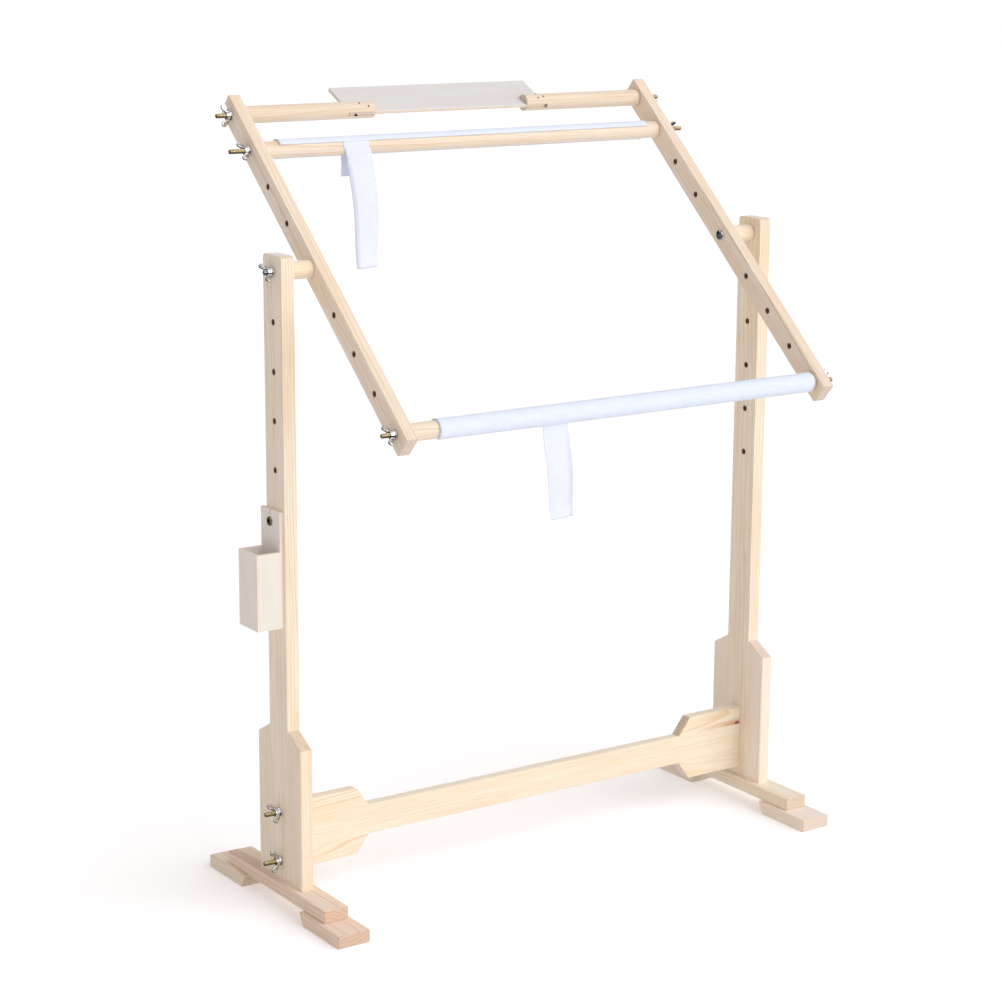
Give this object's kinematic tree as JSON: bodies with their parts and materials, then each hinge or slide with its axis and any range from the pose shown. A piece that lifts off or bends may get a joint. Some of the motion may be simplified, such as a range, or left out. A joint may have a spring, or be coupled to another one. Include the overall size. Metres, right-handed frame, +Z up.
{
  "type": "floor_embroidery_stand",
  "caption": "Floor-standing pine embroidery frame: sled feet, drilled uprights, stretcher, tilting work frame with scroll rods, tray bar, pencil box and wing nuts.",
  "frame": {"origin": "on the floor, midway between the two uprights and in the middle of the stand's depth", "axes": "X runs along the stretcher to the user's right, -Y is the side where the user sits, +Z is up"},
  "size_m": [0.6593, 0.3716, 0.8103],
  "materials": {
    "pine": "planed and sanded pine, bare",
    "plywood": "pale sanded plywood, bare",
    "bolt_plating": "steel, yellow zinc plated",
    "wing_nut_plating": "bright nickel plated",
    "tape_cloth": "white cotton tape, plain weave",
    "ribbon_cloth": "white cotton ribbon, plain weave"
  },
  "bodies": {
    "base": {"left_foot_rail": "pine", "left_front_foot_pad": "pine", "left_rear_foot_pad": "pine", "left_upright_post": "pine", "left_upright_front_cheek": "pine", "left_upright_rear_cheek": "pine", "stretcher_left_upper_cheek": "pine", "stretcher_left_lower_cheek": "pine", "left_upper_base_bolt": "bolt_plating", "left_lower_base_bolt": "bolt_plating", "right_foot_rail": "pine", "right_front_foot_pad": "pine", "right_rear_foot_pad": "pine", "right_upright_post": "pine", "right_upright_front_cheek": "pine", "right_upright_rear_cheek": "pine", "stretcher_right_upper_cheek": "pine", "stretcher_right_lower_cheek": "pine", "right_upper_base_bolt": "bolt_plating", "right_lower_base_bolt": "bolt_plating", "stretcher_rail": "pine", "pencil_box_back_board": "plywood", "pencil_box_outer_board": "plywood", "pencil_box_front_side": "plywood", "pencil_box_rear_side": "plywood", "pencil_box_bottom": "plywood", "pencil_box_screw": "bolt_plating"},
    "work_frame": {"left_arm": "pine", "right_arm": "pine", "left_spacer": "pine", "right_spacer": "pine", "left_pivot_bolt": "bolt_plating", "right_pivot_bolt": "bolt_plating"},
    "tray_bar": {"left_tray_dowel": "pine", "right_tray_dowel": "pine", "tray_plate": "plywood", "left_tray_bolt": "bolt_plating", "right_tray_bolt": "bolt_plating"},
    "upper_scroll": {"upper_rod": "pine", "upper_rod_tape": "tape_cloth", "left_upper_rod_bolt": "bolt_plating", "right_upper_rod_bolt": "bolt_plating"},
    "lower_scroll": {"lower_rod": "pine", "lower_rod_tape": "tape_cloth", "left_lower_rod_bolt": "bolt_plating", "right_lower_rod_bolt": "bolt_plating"},
    "upper_ribbon_strip": {"upper_ribbon": "ribbon_cloth"},
    "lower_ribbon_strip": {"lower_ribbon": "ribbon_cloth"},
    "left_upper_base_nut": {"left_upper_base_wing_nut": "wing_nut_plating"},
    "right_upper_base_nut": {"right_upper_base_wing_nut": "wing_nut_plating"},
    "left_lower_base_nut": {"left_lower_base_wing_nut": "wing_nut_plating"},
    "right_lower_base_nut": {"right_lower_base_wing_nut": "wing_nut_plating"},
    "left_pivot_nut": {"left_pivot_wing_nut": "wing_nut_plating"},
    "right_pivot_nut": {"right_pivot_wing_nut": "wing_nut_plating"},
    "left_tray_nut": {"left_tray_wing_nut": "wing_nut_plating"},
    "right_tray_nut": {"right_tray_wing_nut": "wing_nut_plating"},
    "left_upper_rod_nut": {"left_upper_rod_wing_nut": "wing_nut_plating"},
    "right_upper_rod_nut": {"right_upper_rod_wing_nut": "wing_nut_plating"},
    "left_lower_rod_nut": {"left_lower_rod_wing_nut": "wing_nut_plating"},
    "right_lower_rod_nut": {"right_lower_rod_wing_nut": "wing_nut_plating"}
  },
  "joints": [
    {"name": "frame_tilt", "type": "hinge", "parent": "base", "child": "work_frame", "pos_m": [0, -0.0087, 0.6513], "axis": [1, 0, 0], "continuous": true, "deforming": ["upper_ribbon", "lower_ribbon"]},
    {"name": "tray_tilt", "type": "hinge", "parent": "work_frame", "child": "tray_bar", "pos_m": [0, 0.1477, 0.78918], "axis": [1, 0, 0], "range_deg": [-148, 176]},
    {"name": "upper_scroll_turn", "type": "hinge", "parent": "work_frame", "child": "upper_scroll", "pos_m": [0, 0.11057, 0.75645], "axis": [1, 0, 0], "continuous": true, "deforming": ["upper_ribbon"]},
    {"name": "lower_scroll_turn", "type": "hinge", "parent": "work_frame", "child": "lower_scroll", "pos_m": [0, -0.1651, 0.51342], "axis": [1, 0, 0], "continuous": true, "deforming": ["lower_ribbon"]},
    {"name": "left_upper_base_nut_turn", "type": "hinge", "parent": "base", "child": "left_upper_base_nut", "pos_m": [-0.305, -0.0087, 0.1], "axis": [-1, 0, 0], "continuous": true},
    {"name": "right_upper_base_nut_turn", "type": "hinge", "parent": "base", "child": "right_upper_base_nut", "pos_m": [0.305, -0.0087, 0.1], "axis": [1, 0, 0], "continuous": true},
    {"name": "left_lower_base_nut_turn", "type": "hinge", "parent": "base", "child": "left_lower_base_nut", "pos_m": [-0.305, -0.0087, 0.048], "axis": [-1, 0, 0], "continuous": true},
    {"name": "right_lower_base_nut_turn", "type": "hinge", "parent": "base", "child": "right_lower_base_nut", "pos_m": [0.305, -0.0087, 0.048], "axis": [1, 0, 0], "continuous": true},
    {"name": "left_pivot_nut_turn", "type": "hinge", "parent": "work_frame", "child": "left_pivot_nut", "pos_m": [-0.305, -0.0087, 0.6513], "axis": [-1, 0, 0], "continuous": true},
    {"name": "right_pivot_nut_turn", "type": "hinge", "parent": "work_frame", "child": "right_pivot_nut", "pos_m": [0.305, -0.0087, 0.6513], "axis": [1, 0, 0], "continuous": true},
    {"name": "left_tray_nut_turn", "type": "hinge", "parent": "tray_bar", "child": "left_tray_nut", "pos_m": [-0.263, 0.1477, 0.78918], "axis": [-1, 0, 0], "continuous": true},
    {"name": "right_tray_nut_turn", "type": "hinge", "parent": "tray_bar", "child": "right_tray_nut", "pos_m": [0.263, 0.1477, 0.78918], "axis": [1, 0, 0], "continuous": true},
    {"name": "left_upper_rod_nut_turn", "type": "hinge", "parent": "upper_scroll", "child": "left_upper_rod_nut", "pos_m": [-0.263, 0.11057, 0.75645], "axis": [-1, 0, 0], "continuous": true},
    {"name": "right_upper_rod_nut_turn", "type": "hinge", "parent": "upper_scroll", "child": "right_upper_rod_nut", "pos_m": [0.263, 0.11057, 0.75645], "axis": [1, 0, 0], "continuous": true},
    {"name": "left_lower_rod_nut_turn", "type": "hinge", "parent": "lower_scroll", "child": "left_lower_rod_nut", "pos_m": [-0.263, -0.1651, 0.51342], "axis": [-1, 0, 0], "continuous": true},
    {"name": "right_lower_rod_nut_turn", "type": "hinge", "parent": "lower_scroll", "child": "right_lower_rod_nut", "pos_m": [0.263, -0.1651, 0.51342], "axis": [1, 0, 0], "continuous": true},
    {"name": "upper_ribbon_hang", "type": "hinge", "parent": "work_frame", "child": "upper_ribbon_strip", "pos_m": [0, 0.11057, 0.75645], "axis": [1, 0, 0], "continuous": true},
    {"name": "lower_ribbon_hang", "type": "hinge", "parent": "work_frame", "child": "lower_ribbon_strip", "pos_m": [0, -0.1651, 0.51342], "axis": [1, 0, 0], "continuous": true}
  ],
  "couplings": [
    {"joint": "upper_ribbon_hang", "follows": "frame_tilt", "ratio": -1},
    {"joint": "lower_ribbon_hang", "follows": "frame_tilt", "ratio": -1}
  ]
}
